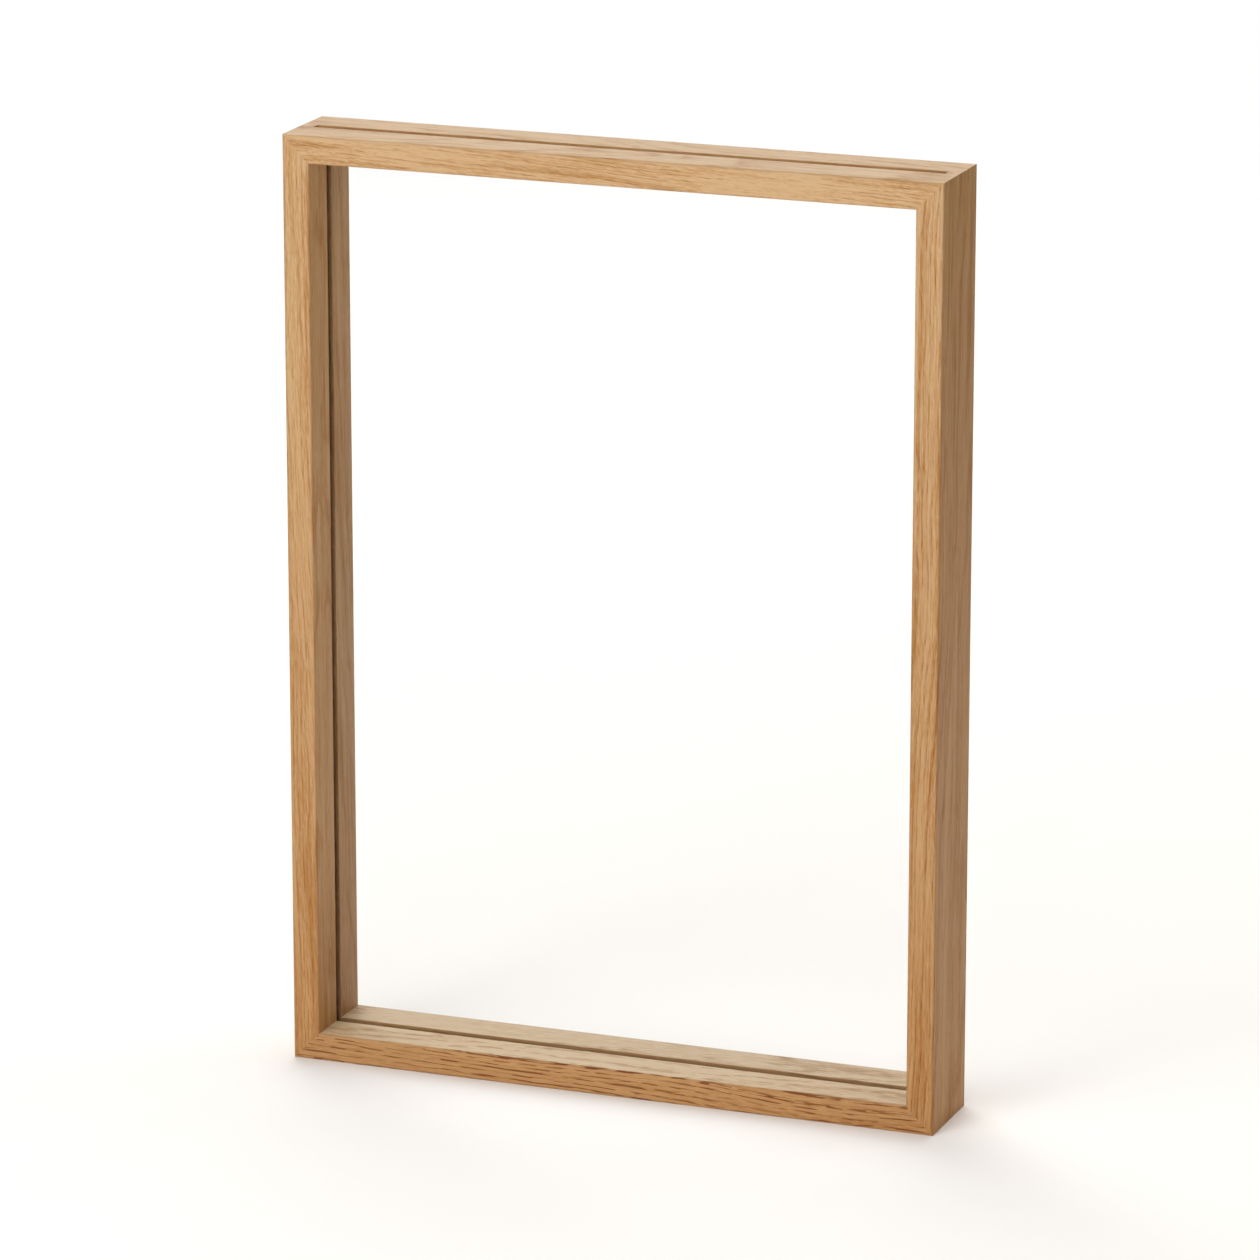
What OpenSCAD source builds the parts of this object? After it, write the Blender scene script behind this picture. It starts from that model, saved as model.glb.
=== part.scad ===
// Free-standing oak display frame. Four mitred rails hold two clear sheets in
// one groove, and the sheets drop in through a slot along the top rail.
// All sizes are in millimetres. The origin is the middle of the underside,
// +Z is up, +X is to the right, and the front faces -Y.

/* [Clear sheets] */
// Width of each sheet
sheet_w = 210; // [90:1:420]
// Height of each sheet
sheet_h = 297; // [90:1:594]
// Thickness of each sheet
sheet_t = 1.5; // [1:0.1:2]
// Gap between the two sheets, and between a sheet and the groove's wall
sheet_gap = 0.2; // [0.15:0.05:0.3]
// Gap between a sheet's side edge and the bottom of its groove
side_gap = 0.5; // [0.3:0.1:1]
// Distance from the sheets' top edges up to the top of the frame
sheet_sink = 5.5; // [4:0.5:8]

/* [Oak rails] */
// Thickness of each rail, seen from the front
rail_t = 9; // [9:0.5:14]
// Depth of each rail from front to back
rail_d = 33; // [33:1:60]
// Depth of the groove in each rail's inner face
groove_depth = 4.5; // [2.5:0.25:4.5]
// Radius of the rails' rounded long edges
edge_r = 0.8; // [0.2:0.1:1.5]

/* [Corner dowels] */
// Diameter of each dowel
dowel_d = 3; // [2:0.5:3]
// Length of each dowel
dowel_l = 7; // [4:0.5:7]
// Distance of each dowel from the middle of the rail's depth
dowel_y = 9; // [6:0.5:12]
// Gap round each dowel in its holes, which the glue fills
glue_gap = 0.05; // [0.03:0.01:0.1]

/* [Hidden] */
$fn = 64;
groove_w = 2 * sheet_t + 3 * sheet_gap;
pocket_w = sheet_w + 2 * side_gap;
floor_z = rail_t - groove_depth;
frame_w = pocket_w + 2 * floor_z;
frame_h = floor_z + sheet_h + sheet_sink;
sheet_y = (sheet_t + sheet_gap) / 2;
overrun = 1;
oak = [0.80, 0.66, 0.48];
beech = [0.87, 0.74, 0.56];
clear = [0.90, 0.95, 0.96, 0.35];

CORNERS = [
    ["top_left", [-1, 1]],
    ["top_right", [1, 1]],
    ["bottom_left", [-1, -1]],
    ["bottom_right", [1, -1]],
];
FACES = [["front", -1], ["rear", 1]];

function dowel_name(corner, face) = str(corner[0], "_", face[0], "_dowel");

// A rail's cross-section, standing on its outer face
module rail_section() {
    long = rail_d / 2 - edge_r;
    translate([-rail_d / 2, edge_r]) square([rail_d, rail_t - 2 * edge_r]);
    translate([-long, 0]) square([2 * long, rail_t]);
    for (y = [-long, long])
        for (z = [edge_r, rail_t - edge_r])
            translate([y, z]) circle(r = edge_r);
}

// A rail along X with its outer face down, mitred at both ends
module mitred_rail(length) {
    half = length / 2;
    intersection() {
        rotate([90, 0, 90])
            linear_extrude(length, center = true) rail_section();
        rotate([90, 0, 0])
            linear_extrude(rail_d + 2 * overrun, center = true)
                polygon([
                    [-half, 0], [half, 0],
                    [half - rail_t, rail_t], [rail_t - half, rail_t]
                ]);
    }
}

// The space for the sheets: the groove all round, and the slot out of the top
module sheet_pocket() {
    translate([-pocket_w / 2, -groove_w / 2, floor_z])
        cube([pocket_w, groove_w, frame_h]);
}

// A dowel or its hole, square across the mitre at one corner
module across_mitre(side, y, d, length) {
    translate([
        side[0] * (frame_w - rail_t) / 2,
        y,
        frame_h / 2 + side[1] * (frame_h - rail_t) / 2
    ])
        rotate([0, side[0] * side[1] * -45, 0])
            cylinder(d = d, h = length, center = true);
}

module dowel_holes() {
    for (corner = CORNERS)
        for (face = FACES)
            across_mitre(corner[1], face[1] * dowel_y,
                dowel_d + 2 * glue_gap, dowel_l + 4 * glue_gap);
}

// Cuts the sheets' space and the dowels' holes out of a rail in its place
module grooved_and_drilled() {
    difference() {
        children();
        sheet_pocket();
        dowel_holes();
    }
}

module top_rail() {
    color(oak)
        grooved_and_drilled()
            translate([0, 0, frame_h]) rotate([0, 180, 0]) mitred_rail(frame_w);
}

module bottom_rail() {
    color(oak)
        grooved_and_drilled() mitred_rail(frame_w);
}

module stile(side) {
    color(oak)
        grooved_and_drilled()
            translate([side * frame_w / 2, 0, frame_h / 2])
                rotate([0, side * -90, 0]) mitred_rail(frame_h);
}

module sheet(side) {
    color(clear)
        translate([-sheet_w / 2, side * sheet_y - sheet_t / 2, floor_z])
            cube([sheet_w, sheet_t, sheet_h]);
}

module dowel(corner, face) {
    color(beech)
        across_mitre(corner[1], face[1] * dowel_y, dowel_d, dowel_l);
}

top_rail();
bottom_rail();
stile(-1);  // left_stile
stile(1);  // right_stile
sheet(-1);  // front_sheet
sheet(1);  // rear_sheet
for (corner = CORNERS)
    for (face = FACES)
        dowel(corner, face);
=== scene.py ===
import math

import bpy
from bpy.props import FloatProperty, FloatVectorProperty, PointerProperty
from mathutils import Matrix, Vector


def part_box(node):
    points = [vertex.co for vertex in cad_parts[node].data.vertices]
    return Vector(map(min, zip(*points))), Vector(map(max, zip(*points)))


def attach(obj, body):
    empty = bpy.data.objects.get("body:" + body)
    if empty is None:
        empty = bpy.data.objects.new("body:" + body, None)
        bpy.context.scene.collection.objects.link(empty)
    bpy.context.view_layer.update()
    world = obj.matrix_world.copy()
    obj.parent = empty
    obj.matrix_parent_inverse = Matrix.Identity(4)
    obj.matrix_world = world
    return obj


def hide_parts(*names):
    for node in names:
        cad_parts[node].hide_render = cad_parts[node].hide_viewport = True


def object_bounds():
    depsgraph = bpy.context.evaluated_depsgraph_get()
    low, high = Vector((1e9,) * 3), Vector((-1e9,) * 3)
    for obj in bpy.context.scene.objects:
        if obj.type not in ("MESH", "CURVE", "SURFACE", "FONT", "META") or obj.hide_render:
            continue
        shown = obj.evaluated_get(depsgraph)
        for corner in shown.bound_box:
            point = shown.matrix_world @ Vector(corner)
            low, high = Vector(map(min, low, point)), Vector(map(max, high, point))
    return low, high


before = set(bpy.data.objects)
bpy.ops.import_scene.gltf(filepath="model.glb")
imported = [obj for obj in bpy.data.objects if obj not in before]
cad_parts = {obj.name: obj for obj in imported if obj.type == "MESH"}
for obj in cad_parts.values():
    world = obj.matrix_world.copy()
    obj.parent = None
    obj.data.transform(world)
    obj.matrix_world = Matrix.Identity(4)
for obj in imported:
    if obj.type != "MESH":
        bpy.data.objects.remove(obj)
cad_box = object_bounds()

bl_info = {
    "name": "Slotted Oak Display Frame",
    "version": (1, 0, 0),
    "blender": (4, 5, 0),
    "location": "View3D > Sidebar > Display Frame",
    "description": "Makes a mitred oak frame with clear sheets in a slot, on a pale studio floor",
    "category": "Add Mesh",
}

MM = 0.001
EPSILON = 1e-5
WHITE = (1.0, 1.0, 1.0)


def size(node):
    """The width, depth and height of a frame node."""
    low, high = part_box(node)
    return high - low


RAIL = size("bottom_rail")
STILE = size("left_stile")
SHEET_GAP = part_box("rear_sheet")[0].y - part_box("front_sheet")[1].y
POCKET_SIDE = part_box("rear_sheet")[1].y + SHEET_GAP


# ---------------------------------------------------------------- settings

class FrameSizes(bpy.types.PropertyGroup):
    """Small sizes of the joinery and the sheets"""

    edge_radius: FloatProperty(
        name="Edge radius",
        description="Radius of the rails' long rounded edges",
        default=0.8 * MM,
        unit="LENGTH",
    )
    groove_ease: FloatProperty(
        name="Groove ease",
        description="Width of the small bevel along the groove's and the slot's mouth",
        default=0.2 * MM,
        unit="LENGTH",
    )
    side_gap: FloatProperty(
        name="Side gap",
        description="Gap between a sheet's side edge and the bottom of its groove",
        default=0.5 * MM,
        unit="LENGTH",
    )
    sheet_polish: FloatProperty(
        name="Sheet polish",
        description="Width of the polished bevel round each clear sheet",
        default=0.15 * MM,
        unit="LENGTH",
    )


class OakLooks(bpy.types.PropertyGroup):
    """Colours and figure of the oak"""

    pale: FloatVectorProperty(
        name="Pale wood",
        description="The palest colour of the wood",
        subtype="COLOR",
        default=(0.520, 0.342, 0.180),
    )
    tan: FloatVectorProperty(
        name="Tan wood",
        description="The warmest colour of the streaks",
        subtype="COLOR",
        default=(0.368, 0.180, 0.054),
    )
    pore: FloatVectorProperty(
        name="Pores",
        description="The colour inside the open pores",
        subtype="COLOR",
        default=(0.200, 0.064, 0.020),
    )
    # Painted shade: this colour darkens and warms the wood towards the frame's foot and on the walls
    # of the groove and the slot.
    painted_shade: FloatVectorProperty(
        name="Painted shade",
        description="What the wood is multiplied by near the foot and in the grooves",
        subtype="COLOR",
        default=(0.765, 0.630, 0.470),
    )
    ring_width: FloatProperty(
        name="Ring width",
        description="Distance between two growth rings",
        default=1.7 * MM,
        unit="LENGTH",
    )
    roughness: FloatProperty(
        name="Roughness",
        description="Roughness of the satin finish",
        subtype="FACTOR",
        default=0.50,
        min=0.0,
        max=1.0,
    )
    gloss: FloatProperty(
        name="Gloss",
        description="Strength of the satin finish's reflections",
        subtype="FACTOR",
        default=0.15,
        min=0.0,
        max=1.0,
    )


class SheetLooks(bpy.types.PropertyGroup):
    """Finish of the clear sheets"""

    tint: FloatVectorProperty(
        name="Tint",
        description="Colour of the clear sheets",
        subtype="COLOR",
        default=(0.28, 0.32, 0.32),
    )
    face_alpha: FloatProperty(
        name="Face alpha",
        description="How much a sheet's big faces show",
        subtype="FACTOR",
        default=0.012,
        min=0.0,
        max=1.0,
    )
    edge_alpha: FloatProperty(
        name="Edge alpha",
        description="How much a sheet's polished edges show",
        subtype="FACTOR",
        default=0.10,
        min=0.0,
        max=1.0,
    )


class StageLooks(bpy.types.PropertyGroup):
    """Camera, floor and lights"""

    azimuth: FloatProperty(
        name="Azimuth",
        description="How far round to the right of the front the camera stands",
        default=math.radians(20.85),
        subtype="ANGLE",
    )
    elevation: FloatProperty(
        name="Elevation",
        description="How far above the level the camera stands",
        default=math.radians(15.17),
        subtype="ANGLE",
    )
    distance: FloatProperty(
        name="Distance",
        description="From the camera to the middle of the frame",
        default=2.174,
        unit="LENGTH",
    )
    lens: FloatProperty(
        name="Lens",
        description="Focal length of the camera, in millimetres",
        default=195.2,
    )
    floor_colour: FloatVectorProperty(
        name="Floor",
        description="Colour of the plain floor",
        subtype="COLOR",
        default=(0.97, 0.97, 0.97),
    )
    floor_start: FloatProperty(
        name="Floor fade start",
        description="How far from the frame the floor starts to fade into the white",
        default=0.5,
        unit="LENGTH",
    )
    floor_end: FloatProperty(
        name="Floor fade end",
        description="How far from the frame nothing is left of the floor",
        default=1.7,
        unit="LENGTH",
    )
    sky: FloatProperty(
        name="Studio fill",
        description="Strength of the even light from all round",
        default=0.08,
        min=0.0,
    )


SETTINGS = {
    "oak_frame_sizes": FrameSizes,
    "oak_frame_oak": OakLooks,
    "oak_frame_sheets": SheetLooks,
    "oak_frame_stage": StageLooks,
}


# ------------------------------------------------------------ shader nodes

# The Mix node has one set of sockets for each type of data. These are the ones for colours.
MIX_FIRST_COLOUR = 6
MIX_SECOND_COLOUR = 7
MIX_COLOUR = 2


def set_input(node, name, value):
    """Sets one input of a node to a number, a colour, or a link."""
    socket = node.inputs[name]
    if isinstance(value, Value):
        value = value.socket
    if isinstance(value, bpy.types.NodeSocket):
        node.id_data.links.new(value, socket)
    else:
        socket.default_value = value


def add_node(tree, kind, settings=None, sockets=None):
    """Adds any node: its type, its settings, then what its inputs hold."""
    node = tree.nodes.new(kind)
    for name, value in (settings or {}).items():
        setattr(node, name, value)
    for name, value in (sockets or {}).items():
        set_input(node, name, value)
    return node


class Value:
    """A socket that holds a number, so that shader maths reads as plain maths."""

    def __init__(self, socket):
        self.socket = socket

    def maths(self, operation, *operands, clamp=False):
        settings = {"operation": operation, "use_clamp": clamp}
        sockets = dict(enumerate(operands))
        return Value(add_node(self.socket.id_data, "ShaderNodeMath", settings, sockets).outputs[0])

    def __add__(self, other):
        return self.maths("ADD", self, other)

    def __radd__(self, other):
        return self.maths("ADD", other, self)

    def __sub__(self, other):
        return self.maths("SUBTRACT", self, other)

    def __rsub__(self, other):
        return self.maths("SUBTRACT", other, self)

    def __mul__(self, other):
        return self.maths("MULTIPLY", self, other)

    def __rmul__(self, other):
        return self.maths("MULTIPLY", other, self)

    def __truediv__(self, other):
        return self.maths("DIVIDE", self, other)

    def __pow__(self, other):
        return self.maths("POWER", self, other)

    def root(self):
        return self.maths("SQRT", self)

    def fraction(self):
        return self.maths("FRACT", self)

    def size(self):
        return self.maths("ABSOLUTE", self)

    def clamped(self):
        return self.maths("ADD", self, 0.0, clamp=True)

    def bearing(self, other):
        """The angle of the point whose two coordinates are other and this one."""
        return self.maths("ARCTAN2", self, other)

    def swing(self, reach):
        """Turns a noise from 0 to 1 into one that swings about 0, with the given reach."""
        return (self - 0.5) * reach

    def ramped(self, start, end):
        """Rises smoothly from 0 at start to 1 at end, or falls if start is above end."""
        settings = {"interpolation_type": "SMOOTHSTEP"}
        sockets = {"Value": self, "From Min": start, "From Max": end}
        if start > end:
            sockets.update({"From Min": end, "From Max": start, "To Min": 1.0, "To Max": 0.0})
        return Value(add_node(self.socket.id_data, "ShaderNodeMapRange", settings, sockets).outputs[0])


class Finish:
    """A new material with one Principled shader, and the patterns that feed it."""

    def __init__(self, name):
        self.material = bpy.data.materials.new(name)
        self.material.use_nodes = True
        self.tree = self.material.node_tree
        self.tree.nodes.clear()
        output = self.node("ShaderNodeOutputMaterial")
        self.shader = self.node("ShaderNodeBsdfPrincipled")
        self.tree.links.new(self.shader.outputs[0], output.inputs["Surface"])

    def node(self, kind, settings=None, sockets=None):
        return add_node(self.tree, kind, settings, sockets)

    def set(self, **inputs):
        """Sets inputs of the shader: base_color=... sets Base Color."""
        for name, value in inputs.items():
            set_input(self.shader, name.replace("_", " ").title().replace("Ior", "IOR"), value)

    def place(self, turn=(0.0, 0.0, 0.0), shift=(0.0, 0.0, 0.0)):
        """Object coordinates in millimetres, turned and then shifted."""
        coordinates = self.node("ShaderNodeTexCoord").outputs["Object"]
        sockets = {"Vector": coordinates, "Rotation": turn, "Location": shift, "Scale": (1 / MM,) * 3}
        return self.node("ShaderNodeMapping", None, sockets).outputs[0]

    def parts(self, vector):
        """The three numbers of a vector."""
        node = self.node("ShaderNodeSeparateXYZ", None, {0: vector})
        return [Value(output) for output in node.outputs]

    def joined(self, *parts):
        """A vector of three numbers."""
        return self.node("ShaderNodeCombineXYZ", None, dict(enumerate(parts))).outputs[0]

    def noise(self, vector, cell, detail=2.0, roughness=0.5):
        """Noise from 0 to 1. Its cells have the given sizes in millimetres along the vector."""
        stretch = {0: vector, 1: tuple(1 / side for side in cell)}
        squeezed = self.node("ShaderNodeVectorMath", {"operation": "MULTIPLY"}, stretch).outputs[0]
        sockets = {"Vector": squeezed, "Scale": 1.0, "Detail": detail, "Roughness": roughness}
        return Value(self.node("ShaderNodeTexNoise", None, sockets).outputs[0])

    def mix(self, factor, first, second, blend="MIX"):
        """Mixes two colours."""
        settings = {"data_type": "RGBA", "blend_type": blend}
        sockets = {0: factor, MIX_FIRST_COLOUR: first, MIX_SECOND_COLOUR: second}
        return self.node("ShaderNodeMix", settings, sockets).outputs[MIX_COLOUR]

    def bump(self, height, strength, depth):
        """A bump whose full height is the given depth in metres."""
        sockets = {"Height": height, "Strength": strength, "Distance": depth}
        return self.node("ShaderNodeBump", None, sockets).outputs[0]


def rgba(colour):
    """A colour with the fourth number that a socket needs."""
    return (*colour, 1.0)


# ---------------------------------------------------------------- finishes

# Each mark in the oak: its size in millimetres along the grain, out from the pith of the log
# and round it, then the detail and the roughness of its noise
OAK_MARKS = {
    "bend": ((140.0, 30.0, 30.0), 2.0, 0.5),
    "waver": ((24.0, 6.0, 6.0), 2.0, 0.5),
    "season": ((1.0, 6.0, 1.0), 2.0, 0.5),
    "growth": ((60.0, 2.6, 12.0), 2.0, 0.5),
    "band": ((110.0, 3.6, 8.0), 2.0, 0.5),
    "streak": ((24.0, 0.56, 0.9), 2.0, 0.6),
    "fibre": ((5.0, 0.34, 0.34), 2.0, 0.6),
    "vessel": ((6.5, 0.42, 0.7), 1.0, 0.4),
    "ray": ((2.2, 1.8, 0.3), 1.0, 0.4),
}

# How far the rings stray from true circles, in millimetres
BEND_REACH = 9.0
WAVER_REACH = 1.2
SEASON_REACH = 6.0

# Where the coarse early wood starts and stops within a year's ring, from 0 to 1
EARLY_START = (0.0, 0.12)
EARLY_STOP = (0.58, 0.14)

# How far each mark moves the colour, on a scale from 0 for pale to 1 for tan
STREAK_TONE = 1.9
BAND_TONE = 1.8
FIBRE_TONE = 1.9
EARLY_TONE = 0.4
RAY_TONE = -0.35
FIGURE_TONE = -0.1

# Where each mask rises or falls, as a share of the frame's half depth, of the pocket's, of the
# frame's half width, and of the height of the groove's floor
NARROW_FACE = (0.93, 0.98)
NEAR_MIDDLE = (1.08, 1.02)
OFF_THE_SIDES = (0.985, 0.97)
OFF_THE_FOOT = (0.5, 0.9)

# How much painted shade darkens the wide faces towards the foot, the narrow faces towards the foot,
# and the walls of the groove
PAINTED_SHADE_WIDE = 0.4
PAINTED_SHADE_NARROW = 1.0
PAINTED_SHADE_GROOVE = 0.7


def between(low, high, factor):
    """Goes from low to high as the factor goes from 0 to 1."""
    return low + (high - low) * factor


def log_layers(oak, turn, pith, lean):
    """Where a board's points lay in the log: along it, out from its pith, and round it."""
    place = oak.place(turn, pith)
    along, across, through = oak.parts(place)
    sideways = across + along * lean[0]
    outward = through + along * lean[1]
    bend = oak.noise(place, *OAK_MARKS["bend"]).swing(BEND_REACH)
    waver = oak.noise(place, *OAK_MARKS["waver"]).swing(WAVER_REACH)
    radius = (sideways ** 2.0 + outward ** 2.0).root() + bend + waver
    bearing = sideways.bearing(outward) * math.hypot(*pith[1:])
    return along, radius, bearing


def early_wood(oak, radius, layers, ring_width, pores):
    """The coarse first part of each year's ring, where that ring is a strong one."""
    outward = oak.joined(0.0, radius, 0.0)
    season = oak.noise(outward, *OAK_MARKS["season"]).swing(SEASON_REACH)
    ring = ((radius + season) / ring_width).fraction()
    weak = between(0.42, 0.22, pores)
    strong = between(0.60, 0.44, pores)
    growth = oak.noise(layers, *OAK_MARKS["growth"]).ramped(weak, strong)
    return ring.ramped(*EARLY_START) * ring.ramped(*EARLY_STOP) * growth


def open_pores(oak, layers, early, pores):
    """The open pores. They are rarer outside the early wood, and in a board with few."""
    rarity = between(0.57, 0.46, pores)
    vessel = oak.noise(layers, *OAK_MARKS["vessel"]).ramped(rarity, rarity + 0.06)
    return vessel * between(0.08, 1.0, early)


def narrow_faces(depth):
    """1 on the boards' front and back faces, and 0 on their wide ones."""
    return (depth / (cad_box[1].y / MM)).size().ramped(*NARROW_FACE)


def groove_walls(width, depth, height):
    """1 inside the groove and the slot, and 0 on the boards' outer faces. It places the painted shade
    in the groove.
    """
    near_middle = (depth / (POCKET_SIDE / MM)).size().ramped(*NEAR_MIDDLE)
    off_sides = (width / (cad_box[1].x / MM)).size().ramped(*OFF_THE_SIDES)
    off_foot = (height / (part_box("front_sheet")[0].z / MM)).ramped(*OFF_THE_FOOT)
    return near_middle * off_sides * off_foot


def oak_finish(name, turn, pith, lean, warmth, streaks, pores, wide):
    """Satin oak for one board.

    turn lays the grain along the pattern's first axis. pith is where the board lies in the
    log, in millimetres, and lean is how fast the rings drift along it. warmth moves its colour
    from pale to orange, streaks and pores are how strongly each shows, and wide is a painted
    light tint that the colour of its wide faces is multiplied by: it lightens, darkens or greys
    each board's sides to stand in for the light that falls on them, and paints a pale sheen on
    the bottom rail's ledge.
    """
    looks = bpy.context.scene.oak_frame_oak
    oak = Finish(name)
    along, radius, bearing = log_layers(oak, turn, pith, lean)
    layers = oak.joined(along, radius, bearing)
    early = early_wood(oak, radius, layers, looks.ring_width / MM, pores)
    open_pore = open_pores(oak, layers, early, pores)
    band = oak.noise(layers, *OAK_MARKS["band"])
    streak = oak.noise(layers, *OAK_MARKS["streak"])
    fibre = oak.noise(layers, *OAK_MARKS["fibre"])
    ray = oak.noise(layers, *OAK_MARKS["ray"]).ramped(0.64, 0.74)

    figure = streak.swing(STREAK_TONE) + band.swing(BAND_TONE) + EARLY_TONE * early + FIGURE_TONE
    tone = (warmth + streaks * figure + fibre.swing(FIBRE_TONE) + RAY_TONE * ray).clamped()
    wood = oak.mix(tone, rgba(looks.pale), rgba(looks.tan))

    width, depth, height = oak.parts(oak.place())
    narrow = narrow_faces(depth)
    # Painted shade: in_groove and low_down lay a darker, warmer colour on the walls of the groove and
    # the slot, and more and more towards the frame's foot.
    in_groove = groove_walls(width, depth, height)
    low_down = 1.0 - (height / (cad_box[1].z / MM)).clamped()
    dark = (open_pore * between(0.35, 1.0, narrow) * pores).clamped()
    wood = oak.mix(dark, wood, rgba(looks.pore))
    painted_shade = low_down * between(PAINTED_SHADE_WIDE, PAINTED_SHADE_NARROW, narrow) + in_groove * PAINTED_SHADE_GROOVE
    wood = oak.mix(painted_shade, wood, rgba(looks.painted_shade), "MULTIPLY")
    # Painted light: the wide faces are multiplied by the board's own tint, which lightens, darkens or
    # greys them in place of the lamps' light, and paints a pale sheen on the bottom rail's ledge.
    wood = oak.mix(1.0 - narrow - in_groove, wood, rgba(wide), "MULTIPLY")

    relief = fibre * 0.35 + streak * 0.2 - open_pore
    oak.set(
        base_color=wood,
        roughness=looks.roughness + fibre.swing(0.16) + 0.25 * open_pore,
        normal=oak.bump(relief, 0.5, 0.08 * MM),
        specular_ior_level=looks.gloss,
    )
    return oak.material


BEECH_PALE = (0.78, 0.58, 0.38)
BEECH_TAN = (0.60, 0.40, 0.23)
BEECH_FLECK = (0.40, 0.22, 0.11)
BEECH_MARKS = {
    "fibre": ((0.6, 0.6, 6.0), 3.0, 0.6),
    "fleck": ((0.3, 0.3, 1.2), 1.0, 0.5),
}


def beech_finish():
    """Raw beech for the hidden dowels."""
    beech = Finish("raw_beech")
    place = beech.place()
    fibre = beech.noise(place, *BEECH_MARKS["fibre"])
    fleck = beech.noise(place, *BEECH_MARKS["fleck"])
    wood = beech.mix(fibre, rgba(BEECH_PALE), rgba(BEECH_TAN))
    wood = beech.mix(fleck.ramped(0.62, 0.72) * 0.5, wood, rgba(BEECH_FLECK))
    beech.set(
        base_color=wood,
        roughness=0.6 + 0.1 * fibre,
        normal=beech.bump(fibre - fleck, 0.4, 0.05 * MM),
    )
    return beech.material


ACRYLIC_IOR = 1.49
ACRYLIC_MARKS = {
    "wipe": ((60.0, 60.0, 14.0), 3.0, 0.5),
    "dust": ((1.1, 1.1, 1.1), 0.0, 0.5),
}


def clear_finish(name, alpha):
    """Polished clear acrylic with the faintest wipe marks and a little dust."""
    looks = bpy.context.scene.oak_frame_sheets
    acrylic = Finish(name)
    place = acrylic.place()
    wipe = acrylic.noise(place, *ACRYLIC_MARKS["wipe"]).ramped(0.45, 0.75)
    dust = acrylic.noise(place, *ACRYLIC_MARKS["dust"]).ramped(0.74, 0.78)
    tint = acrylic.mix(dust * 0.3, rgba(looks.tint), rgba(WHITE))
    acrylic.set(
        base_color=tint,
        roughness=0.03 + 0.05 * wipe + 0.2 * dust,
        alpha=alpha,
        ior=ACRYLIC_IOR,
    )
    return acrylic.material


# ---------------------------------------------------------------- modelling

FLAT_BELOW = math.radians(35.0)
FACES_FRONT_OR_BACK = 0.99
EDGE_SEGMENTS = 5
BEVEL_SEGMENTS = 2


def deselect():
    """Leaves edit mode and selects nothing."""
    if bpy.context.object and bpy.context.object.mode != "OBJECT":
        bpy.ops.object.mode_set(mode="OBJECT")
    bpy.ops.object.select_all(action="DESELECT")


def add_block(name, low, high):
    """A box between two corners, with its place in its mesh."""
    deselect()
    middle = (low + high) / 2
    bpy.ops.mesh.primitive_cube_add(size=1.0, location=middle, scale=high - low)
    block = bpy.context.object
    block.name = name
    block.data.name = name
    bpy.ops.object.transform_apply(location=True, rotation=True, scale=True)
    return block


def select_edges(block, wanted):
    """In edit mode, selects the edges whose two ends satisfy wanted(a, b)."""
    bpy.ops.mesh.select_mode(type="EDGE")
    bpy.ops.mesh.select_all(action="DESELECT")
    bpy.ops.object.mode_set(mode="OBJECT")
    points = [vertex.co for vertex in block.data.vertices]
    for edge in block.data.edges:
        edge.select = wanted(points[edge.vertices[0]], points[edge.vertices[1]])
    bpy.ops.object.mode_set(mode="EDIT")


def round_long_edges(block, axis, radius):
    """Rounds the four edges that run along the given axis."""
    bpy.ops.object.mode_set(mode="EDIT")
    select_edges(block, lambda a, b: abs((a - b)[axis]) > (a - b).length - EPSILON)
    bpy.ops.mesh.bevel(offset=radius, segments=EDGE_SEGMENTS, affect="EDGES", profile=0.5)
    bpy.ops.object.mode_set(mode="OBJECT")


def cut_mitre(point, outward):
    """Cuts off what lies on the outward side of a plane through a point."""
    bpy.ops.object.mode_set(mode="EDIT")
    bpy.ops.mesh.select_all(action="SELECT")
    bpy.ops.mesh.bisect(plane_co=point, plane_no=outward, use_fill=True, clear_outer=True)
    bpy.ops.object.mode_set(mode="OBJECT")


def cut_out(block, cutter):
    """Takes the cutter's shape out of the block."""
    modifier = block.modifiers.new("cut", "BOOLEAN")
    modifier.operation = "DIFFERENCE"
    modifier.solver = "EXACT"
    modifier.object = cutter
    deselect()
    block.select_set(True)
    bpy.context.view_layer.objects.active = block
    bpy.ops.object.modifier_apply(modifier=modifier.name)


def smooth(block):
    """Smooth shading that keeps the flat faces flat."""
    deselect()
    block.select_set(True)
    bpy.context.view_layer.objects.active = block
    bpy.ops.object.shade_smooth_by_angle(angle=FLAT_BELOW)
    bpy.ops.object.modifier_add(type="WEIGHTED_NORMAL")
    modifier = block.modifiers[-1]
    modifier.keep_sharp = True
    modifier.weight = 100
    bpy.ops.object.modifier_apply(modifier=modifier.name)


def pocket_corners():
    """The space that the two sheets share: the groove all round, open at the top."""
    sizes = bpy.context.scene.oak_frame_sizes
    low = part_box("front_sheet")[0].copy()
    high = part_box("rear_sheet")[1].copy()
    low.x -= sizes.side_gap
    high.x += sizes.side_gap
    low.y -= SHEET_GAP
    high.y += SHEET_GAP
    high.z += 2 * RAIL.z
    return low, high


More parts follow.
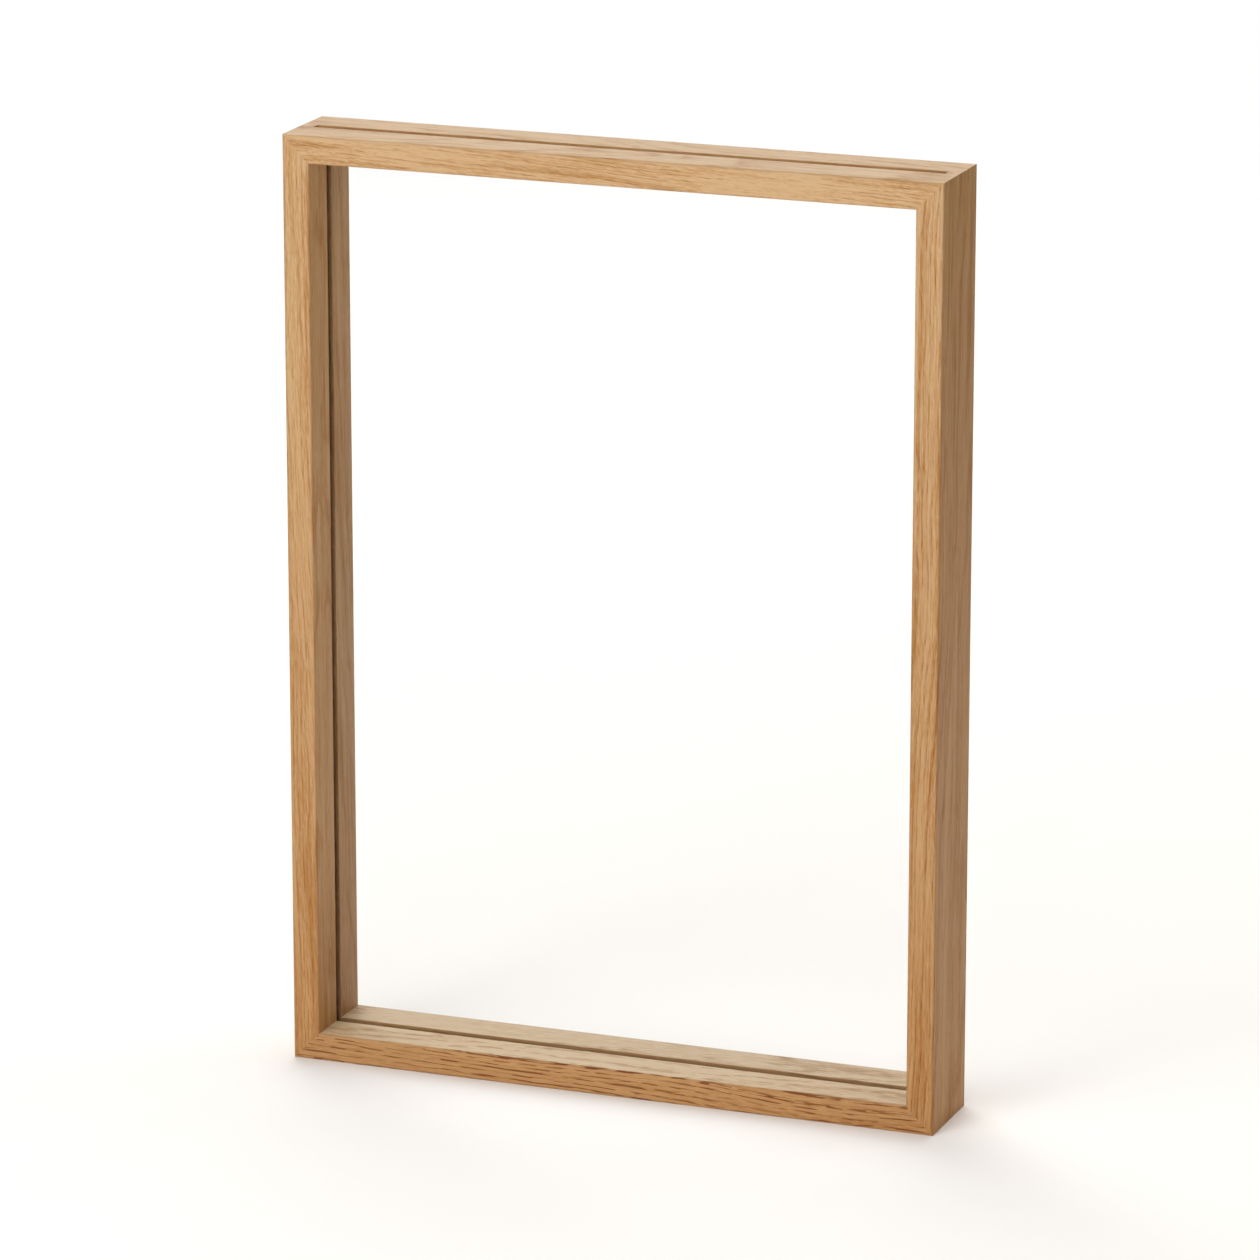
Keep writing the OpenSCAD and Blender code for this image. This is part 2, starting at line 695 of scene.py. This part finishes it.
def ease_groove(block, pocket):
    """Bevels the arrises where the groove or the slot opens onto the board's faces."""
    sizes = bpy.context.scene.oak_frame_sizes
    low, high = pocket
    top = cad_box[1].z
    inner_x = STILE.x - cad_box[1].x
    inner_low = RAIL.z
    inner_high = top - RAIL.z

    def on_mouth(point):
        in_wall = min(abs(point.y - low.y), abs(point.y - high.y)) < EPSILON
        on_face = min(abs(abs(point.x) + inner_x), abs(point.z - inner_low),
                      abs(point.z - inner_high), abs(point.z - top)) < EPSILON
        return in_wall and on_face

    def is_mouth(a, b):
        level = abs(a.y - b.y) < EPSILON or abs(a.x - b.x) < EPSILON
        return on_mouth(a) and on_mouth(b) and level and (a - b).length > SHEET_GAP

    bpy.ops.object.mode_set(mode="EDIT")
    select_edges(block, is_mouth)
    bpy.ops.mesh.bevel(
        offset=sizes.groove_ease, segments=BEVEL_SEGMENTS, affect="EDGES", clamp_overlap=True,
    )
    bpy.ops.object.mode_set(mode="OBJECT")


def mitred_board(node, pocket_cutter, pocket):
    """One rail or stile: a rounded board, mitred at both ends, grooved for the sheets."""
    sizes = bpy.context.scene.oak_frame_sizes
    low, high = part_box(node)
    board = add_block(node + "_oak", low, high)
    upright = (high - low).z > (high - low).x
    round_long_edges(board, 2 if upright else 0, sizes.edge_radius)
    frame_middle = (cad_box[0] + cad_box[1]) / 2
    to_board = (low + high) / 2 - frame_middle
    for x_side in (-1, 1):
        for z_side in (-1, 1):
            corner_z = cad_box[1].z if z_side > 0 else cad_box[0].z
            corner = Vector((x_side * cad_box[1].x, 0.0, corner_z))
            beyond = Vector((-x_side, 0, z_side)) if upright else Vector((x_side, 0, -z_side))
            if (corner - frame_middle).dot(to_board) > 0:
                cut_mitre(corner, beyond)
    cut_out(board, pocket_cutter)
    ease_groove(board, pocket)
    smooth(board)
    return board


# ---------------------------------------------------------------- operators

UPRIGHT = (0.0, math.radians(90.0), 0.0)
LEVEL = (0.0, 0.0, 0.0)

# How each board was sawn from its log, and its colours, in the words of oak_finish. Each wide
# colour is painted light on the board's wide faces, with a painted sheen on the bottom rail's ledge.
BOARDS = {
    "top_rail": {"turn": LEVEL, "pith": (40.0, 4.0, -255.0), "lean": (0.03, 0.060),
                 "warmth": 0.24, "streaks": 0.85, "pores": 0.35,
                 "wide": (0.97, 0.97, 0.95)},
    "bottom_rail": {"turn": LEVEL, "pith": (170.0, -6.0, 58.0), "lean": (-0.03, 0.016),
                    "warmth": 0.14, "streaks": 0.5, "pores": 1.0,
                    "wide": (1.15, 1.40, 1.80)},
    "left_stile": {"turn": UPRIGHT, "pith": (-310.0, 7.0, -165.0), "lean": (0.02, -0.022),
                   "warmth": 0.48, "streaks": 0.9, "pores": 0.3,
                   "wide": (1.14, 1.10, 1.03)},
    "right_stile": {"turn": UPRIGHT, "pith": (70.0, -9.0, 165.0), "lean": (-0.02, 0.020),
                    "warmth": 0.43, "streaks": 0.9, "pores": 0.45,
                    "wide": (1.06, 1.00, 0.91)},
}


class OAKFRAME_OT_boards(bpy.types.Operator):
    """Make the four mitred oak boards with their groove and the slot"""

    bl_idname = "oak_frame.boards"
    bl_label = "Oak Boards"

    def execute(self, context):
        pocket = pocket_corners()
        cutter = add_block("pocket_cutter", *pocket)
        for node, figure in BOARDS.items():
            board = mitred_board(node, cutter, pocket)
            board.data.materials.clear()
            board.data.materials.append(oak_finish(node + "_satin_oak", **figure))
            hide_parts(node)
            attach(board, "frame")
        bpy.data.objects.remove(cutter)
        return {"FINISHED"}


class OAKFRAME_OT_sheets(bpy.types.Operator):
    """Make the two clear sheets that drop in through the slot"""

    bl_idname = "oak_frame.sheets"
    bl_label = "Clear Sheets"

    def execute(self, context):
        sizes = context.scene.oak_frame_sizes
        looks = context.scene.oak_frame_sheets
        clear_face = clear_finish("clear_face", looks.face_alpha)
        clear_edge = clear_finish("polished_edge", looks.edge_alpha)
        for node in ("front_sheet", "rear_sheet"):
            sheet = add_block(node + "_clear", *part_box(node))
            bpy.ops.object.mode_set(mode="EDIT")
            bpy.ops.mesh.select_all(action="SELECT")
            bpy.ops.mesh.bevel(offset=sizes.sheet_polish, segments=BEVEL_SEGMENTS, affect="EDGES")
            bpy.ops.object.mode_set(mode="OBJECT")
            sheet.data.materials.append(clear_face)
            sheet.data.materials.append(clear_edge)
            for face in sheet.data.polygons:
                face.material_index = 0 if abs(face.normal.y) > FACES_FRONT_OR_BACK else 1
            smooth(sheet)
            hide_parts(node)
            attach(sheet, node)
        return {"FINISHED"}


class OAKFRAME_OT_dowels(bpy.types.Operator):
    """Give the hidden corner dowels their raw wood"""

    bl_idname = "oak_frame.dowels"
    bl_label = "Dowels"

    def execute(self, context):
        beech = beech_finish()
        for name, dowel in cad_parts.items():
            if name.endswith("_dowel"):
                dowel.data.materials.clear()
                dowel.data.materials.append(beech)
        return {"FINISHED"}


FLOOR_MOTTLE = ((300.0, 300.0, 300.0), 2.0, 0.5)
FLOOR_PALER = 1.02


def floor_finish():
    """A plain pale floor that fades into the white behind it."""
    looks = bpy.context.scene.oak_frame_stage
    floor = Finish("studio_floor")
    place = floor.place()
    across, along, _ = floor.parts(place)
    far_off = (across ** 2.0 + along ** 2.0).root()
    mottle = floor.noise(place, *FLOOR_MOTTLE)
    paler = rgba([min(1.0, part * FLOOR_PALER) for part in looks.floor_colour])
    floor.set(
        base_color=floor.mix(mottle, rgba(looks.floor_colour), paler),
        roughness=0.9,
        alpha=far_off.ramped(looks.floor_end / MM, looks.floor_start / MM),
    )
    return floor.material


# Each soft box: where it stands as seen from the frame's middle, in degrees and metres, its
# width and height in metres, its radiance and its colour. Azimuth 0 is in front.
LAMPS = {
    "front": {"azimuth": -6.0, "elevation": 12.0, "distance": 2.0, "spread": (1.6, 1.2),
              "radiance": 5.1, "colour": WHITE},
    "key": {"azimuth": -18.0, "elevation": 50.0, "distance": 1.8, "spread": (1.3, 1.3),
            "radiance": 2.1, "colour": WHITE},
    "right": {"azimuth": 80.0, "elevation": 24.0, "distance": 2.4, "spread": (1.4, 1.4),
              "radiance": 1.2, "colour": (1.0, 0.72, 0.45)},
    "back_low": {"azimuth": 200.0, "elevation": 26.0, "distance": 2.6, "spread": (3.0, 1.6),
                 "radiance": 3.2, "colour": (1.0, 0.96, 0.88)},
    "back_over": {"azimuth": 180.0, "elevation": 62.0, "distance": 2.4, "spread": (3.0, 1.6),
                  "radiance": 1.8, "colour": WHITE},
}

# From the frame's middle to the point that the camera aims at
AIM_SHIFT = Vector((1.4, 0.0, -2.1)) * MM


def direction(azimuth, elevation):
    """The way out from the frame at two angles, in radians."""
    return Vector((
        math.sin(azimuth) * math.cos(elevation),
        -math.cos(azimuth) * math.cos(elevation),
        math.sin(elevation),
    ))


def soft_box(name, aim, azimuth, elevation, distance, spread, radiance, colour):
    """A soft box that faces the frame. Its power follows from the radiance wanted."""
    away = direction(math.radians(azimuth), math.radians(elevation))
    light = bpy.data.lights.new(name, "AREA")
    light.shape = "RECTANGLE"
    light.size, light.size_y = spread
    light.energy = radiance * math.pi * spread[0] * spread[1]
    light.color = colour
    lamp = bpy.data.objects.new(name, light)
    bpy.context.scene.collection.objects.link(lamp)
    lamp.location = aim + away * distance
    lamp.rotation_euler = away.to_track_quat("Z", "Y").to_euler()
    lamp.visible_camera = False


class OAKFRAME_OT_stage(bpy.types.Operator):
    """Make the pale floor, the soft lights and the camera"""

    bl_idname = "oak_frame.stage"
    bl_label = "Stage"

    def execute(self, context):
        looks = context.scene.oak_frame_stage
        middle = (cad_box[0] + cad_box[1]) / 2
        deselect()
        bpy.ops.mesh.primitive_plane_add(size=2 * looks.floor_end, location=(0.0, 0.0, cad_box[0].z))
        floor = context.object
        floor.name = "studio_floor"
        bpy.ops.object.transform_apply(location=True, rotation=True, scale=True)
        floor.data.materials.append(floor_finish())

        for name, place_and_power in LAMPS.items():
            soft_box(name, middle, **place_and_power)
        self.fill_from_all_round(context.scene, looks.sky)
        self.add_camera(context.scene, looks, middle)
        context.scene.view_settings.view_transform = "Standard"
        return {"FINISHED"}

    def fill_from_all_round(self, scene, strength):
        """An even pale light, and the same white behind everything."""
        world = bpy.data.worlds.new("studio")
        world.use_nodes = True
        tree = world.node_tree
        tree.nodes.clear()
        fill = add_node(tree, "ShaderNodeBackground", None, {"Strength": strength})
        white = add_node(tree, "ShaderNodeBackground", None, {"Strength": 1.0})
        for shade in (fill, white):
            set_input(shade, "Color", rgba(WHITE))
        seen = add_node(tree, "ShaderNodeLightPath").outputs["Is Camera Ray"]
        sockets = {0: seen, 1: fill.outputs[0], 2: white.outputs[0]}
        mixed = add_node(tree, "ShaderNodeMixShader", None, sockets)
        add_node(tree, "ShaderNodeOutputWorld", None, {"Surface": mixed.outputs[0]})
        scene.world = world

    def add_camera(self, scene, looks, middle):
        """A long lens, a little to the right of the front and above it."""
        away = direction(looks.azimuth, looks.elevation)
        camera = bpy.data.objects.new("camera", bpy.data.cameras.new("camera"))
        scene.collection.objects.link(camera)
        camera.data.lens = looks.lens
        camera.location = middle + AIM_SHIFT + away * looks.distance
        camera.rotation_euler = away.to_track_quat("Z", "Y").to_euler()
        scene.camera = camera


class OAKFRAME_PT_panel(bpy.types.Panel):
    """Lists the frame's settings and its makers"""

    bl_idname = "OAKFRAME_PT_panel"
    bl_label = "Display Frame"
    bl_space_type = "VIEW_3D"
    bl_region_type = "UI"
    bl_category = "Display Frame"

    def draw(self, context):
        for name, group in SETTINGS.items():
            box = self.layout.box()
            box.label(text=group.__doc__)
            for field in group.__annotations__:
                box.prop(getattr(context.scene, name), field)
        for maker in MAKERS:
            self.layout.operator(maker.bl_idname)


MAKERS = (OAKFRAME_OT_boards, OAKFRAME_OT_sheets, OAKFRAME_OT_dowels, OAKFRAME_OT_stage)
CLASSES = (*SETTINGS.values(), *MAKERS, OAKFRAME_PT_panel)


def register():
    for cls in CLASSES:
        bpy.utils.register_class(cls)
    for name, group in SETTINGS.items():
        setattr(bpy.types.Scene, name, PointerProperty(type=group))


def unregister():
    for name in SETTINGS:
        delattr(bpy.types.Scene, name)
    for cls in reversed(CLASSES):
        bpy.utils.unregister_class(cls)


def main():
    register()
    bpy.ops.oak_frame.boards()
    bpy.ops.oak_frame.sheets()
    bpy.ops.oak_frame.dowels()
    bpy.ops.oak_frame.stage()


if __name__ == "__main__":
    main()
